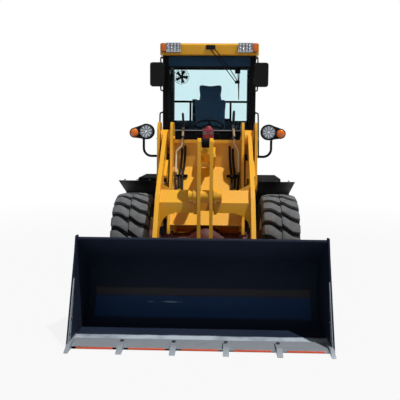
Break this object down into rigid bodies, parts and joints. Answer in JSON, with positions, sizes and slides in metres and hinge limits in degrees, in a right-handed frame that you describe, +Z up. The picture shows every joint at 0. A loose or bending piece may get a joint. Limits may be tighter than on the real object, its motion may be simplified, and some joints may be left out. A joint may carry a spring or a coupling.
{
  "type": "wheel loader",
  "caption": "Articulated wheel loader with a glazed cab, rear engine, Z-bar lift arms and a toothed earth bucket on big lugged tyres.",
  "frame": {"origin": "on the ground, under the centre of the whole machine with the bucket down", "axes": "+Z up, -Y ahead towards the bucket, +X to the left hand of a driver looking ahead"},
  "size_m": [2.15, 5.845, 2.8899],
  "materials": {
    "body_yellow": "satin paint",
    "roof_yellow": "painted fibreglass",
    "tank_black": "moulded",
    "frame_black": "satin paint",
    "bucket_black": "worn satin paint",
    "iron_yellow": "painted casting",
    "engine_grey": "matte paint",
    "axle_red": "matte paint",
    "bare_steel": "worn",
    "rod_chrome": "polished",
    "tyre": "matte",
    "glass": "clear, lightly tinted",
    "lamp_glass": "gloss",
    "black_plastic": "grained",
    "seat_cloth": "woven"
  },
  "bodies": {
    "rear": {"rear_frame": "body_yellow", "rear_axle": "axle_red", "engine": "engine_grey", "counterweight": "iron_yellow", "side_tanks": "tank_black", "rear_fenders": "frame_black", "cab_base": "frame_black", "cab_frame": "frame_black", "cab_roof": "roof_yellow", "cab_glass": "glass", "seat": "seat_cloth", "steering_column": "black_plastic", "mirrors": "black_plastic", "roof_lamps": "lamp_glass", "hood": "body_yellow", "grille": "frame_black", "tail_lamps": "lamp_glass", "stacks": "frame_black"},
    "front": {"front_frame": "body_yellow", "front_axle": "axle_red", "front_fenders": "frame_black", "lamp_arms": "frame_black", "headlamps": "black_plastic"},
    "boom": {"boom": "body_yellow"},
    "bucket_carrier": {"bucket_pins": "bare_steel"},
    "bucket": {"bucket": "bucket_black", "cutting_edge": "bare_steel"},
    "crank_carrier": {"crank_pin": "bare_steel"},
    "bell_crank": {"bell_crank": "body_yellow"},
    "link_carrier": {"link_pin": "bare_steel"},
    "bucket_link": {"bucket_link": "body_yellow"},
    "lift_barrels": {"lift_barrels": "body_yellow"},
    "lift_rods": {"lift_rods": "rod_chrome"},
    "tilt_barrel": {"tilt_barrel": "body_yellow"},
    "tilt_rod": {"tilt_rod": "rod_chrome"},
    "steer_barrel_left": {"steer_barrel_left": "body_yellow"},
    "steer_rod_left": {"steer_rod_left": "rod_chrome"},
    "steer_barrel_right": {"steer_barrel_right": "body_yellow"},
    "steer_rod_right": {"steer_rod_right": "rod_chrome"},
    "cab_door_left": {"cab_door_left": "body_yellow", "door_glass_left": "glass"},
    "cab_door_right": {"cab_door_right": "body_yellow", "door_glass_right": "glass"},
    "engine_door_left": {"engine_door_left": "body_yellow"},
    "engine_door_right": {"engine_door_right": "body_yellow"},
    "wheel_front_left": {"tyre_front_left": "tyre", "rim_front_left": "body_yellow"},
    "wheel_front_right": {"tyre_front_right": "tyre", "rim_front_right": "body_yellow"},
    "wheel_rear_left": {"tyre_rear_left": "tyre", "rim_rear_left": "body_yellow"},
    "wheel_rear_right": {"tyre_rear_right": "tyre", "rim_rear_right": "body_yellow"}
  },
  "joints": [
    {"name": "steer", "type": "hinge", "parent": "rear", "child": "front", "pos_m": [0, 0.3825, 0.7], "axis": [0, 0, 1], "range_deg": [-35, 35]},
    {"name": "boom_lift", "type": "hinge", "parent": "front", "child": "boom", "pos_m": [0, -0.4075, 1.68], "axis": [-1, 0, 0], "range_deg": [0, 85]},
    {"name": "bucket_level", "type": "hinge", "parent": "boom", "child": "bucket_carrier", "pos_m": [0, -1.7975, 0.29], "axis": [1, 0, 0], "range_deg": [0, 86]},
    {"name": "bucket_tilt", "type": "hinge", "parent": "bucket_carrier", "child": "bucket", "pos_m": [0, -1.7975, 0.29], "axis": [1, 0, 0], "range_deg": [-45, 45]},
    {"name": "crank_lift", "type": "hinge", "parent": "boom", "child": "crank_carrier", "pos_m": [0, -1.3575, 1.1], "axis": [-1, 0, 0], "range_deg": [0, 19.25]},
    {"name": "crank_tilt", "type": "hinge", "parent": "crank_carrier", "child": "bell_crank", "pos_m": [0, -1.3575, 1.1], "axis": [-1, 0, 0], "range_deg": [-10.32, 10.32]},
    {"name": "link_lift", "type": "hinge", "parent": "bell_crank", "child": "link_carrier", "pos_m": [0, -1.3465, 0.452], "axis": [1, 0, 0], "range_deg": [0, 51.18]},
    {"name": "link_tilt", "type": "hinge", "parent": "link_carrier", "child": "bucket_link", "pos_m": [0, -1.3465, 0.452], "axis": [1, 0, 0], "range_deg": [-10.87, 10.87]},
    {"name": "lift_barrel_turn", "type": "hinge", "parent": "front", "child": "lift_barrels", "pos_m": [0, -0.0075, 0.65], "axis": [-1, 0, 0], "range_deg": [0, 12.72]},
    {"name": "lift_stroke", "type": "slide", "parent": "lift_barrels", "child": "lift_rods", "axis": [0, -0.7352, 0.6779], "range_m": [0, 0.64861]},
    {"name": "tilt_barrel_turn", "type": "hinge", "parent": "front", "child": "tilt_barrel", "pos_m": [0, -0.4175, 1.47], "axis": [-1, 0, 0], "range_deg": [0, 71.97]},
    {"name": "tilt_stroke", "type": "slide", "parent": "tilt_barrel", "child": "tilt_rod", "axis": [0, 0.9837, -0.1798], "range_m": [-0.0744, 0.0744]},
    {"name": "steer_barrel_turn_left", "type": "hinge", "parent": "rear", "child": "steer_barrel_left", "pos_m": [-0.225, 0.9125, 0.6], "axis": [0, 0, 1], "range_deg": [-5.84, 5.84]},
    {"name": "steer_stroke_left", "type": "slide", "parent": "steer_barrel_left", "child": "steer_rod_left", "axis": [-0.0079, -1, 0], "range_m": [-0.13965, 0.13965]},
    {"name": "steer_barrel_turn_right", "type": "hinge", "parent": "rear", "child": "steer_barrel_right", "pos_m": [0.225, 0.9125, 0.6], "axis": [0, 0, 1], "range_deg": [-5.84, 5.84]},
    {"name": "steer_stroke_right", "type": "slide", "parent": "steer_barrel_right", "child": "steer_rod_right", "axis": [-0.0079, 1, 0], "range_m": [-0.13965, 0.13965]},
    {"name": "spin_front_left", "type": "hinge", "parent": "front", "child": "wheel_front_left", "pos_m": [-0.8, -0.8075, 0.5375], "axis": [1, 0, 0], "continuous": true},
    {"name": "spin_front_right", "type": "hinge", "parent": "front", "child": "wheel_front_right", "pos_m": [0.8, -0.8075, 0.5375], "axis": [1, 0, 0], "continuous": true},
    {"name": "spin_rear_left", "type": "hinge", "parent": "rear", "child": "wheel_rear_left", "pos_m": [-0.8, 1.5725, 0.5375], "axis": [1, 0, 0], "continuous": true},
    {"name": "spin_rear_right", "type": "hinge", "parent": "rear", "child": "wheel_rear_right", "pos_m": [0.8, 1.5725, 0.5375], "axis": [1, 0, 0], "continuous": true},
    {"name": "cab_door_left", "type": "hinge", "parent": "rear", "child": "cab_door_left", "pos_m": [-0.61, 1.2795, 1.9], "axis": [0, 0, -1], "range_deg": [0, 100]},
    {"name": "cab_door_right", "type": "hinge", "parent": "rear", "child": "cab_door_right", "pos_m": [0.61, 1.2795, 1.9], "axis": [0, 0, 1], "range_deg": [0, 100]},
    {"name": "engine_door_left", "type": "hinge", "parent": "rear", "child": "engine_door_left", "pos_m": [-0.51, 2.1665, 1.703], "axis": [0, 1, 0], "range_deg": [0, 80]},
    {"name": "engine_door_right", "type": "hinge", "parent": "rear", "child": "engine_door_right", "pos_m": [0.51, 2.1665, 1.703], "axis": [0, -1, 0], "range_deg": [0, 80]}
  ],
  "couplings": [
    {"joint": "bucket_level", "follows": "boom_lift", "ratio": 1},
    {"joint": "crank_lift", "follows": "boom_lift", "ratio": 0.21475},
    {"joint": "crank_tilt", "follows": "bucket_tilt", "ratio": 0.20715},
    {"joint": "link_lift", "follows": "boom_lift", "ratio": 0.59039},
    {"joint": "link_tilt", "follows": "bucket_tilt", "ratio": 0.21932},
    {"joint": "lift_barrel_turn", "follows": "boom_lift", "ratio": 0.13791},
    {"joint": "lift_stroke", "follows": "boom_lift", "m_per_rad": 0.43384},
    {"joint": "tilt_barrel_turn", "follows": "boom_lift", "ratio": 0.8349},
    {"joint": "tilt_stroke", "follows": "bucket_tilt", "m_per_rad": 0.088363},
    {"joint": "steer_barrel_turn_left", "follows": "steer", "ratio": 0.13822},
    {"joint": "steer_stroke_left", "follows": "steer", "m_per_rad": 0.22043},
    {"joint": "steer_barrel_turn_right", "follows": "steer", "ratio": 0.13822},
    {"joint": "steer_stroke_right", "follows": "steer", "m_per_rad": 0.22043}
  ]
}
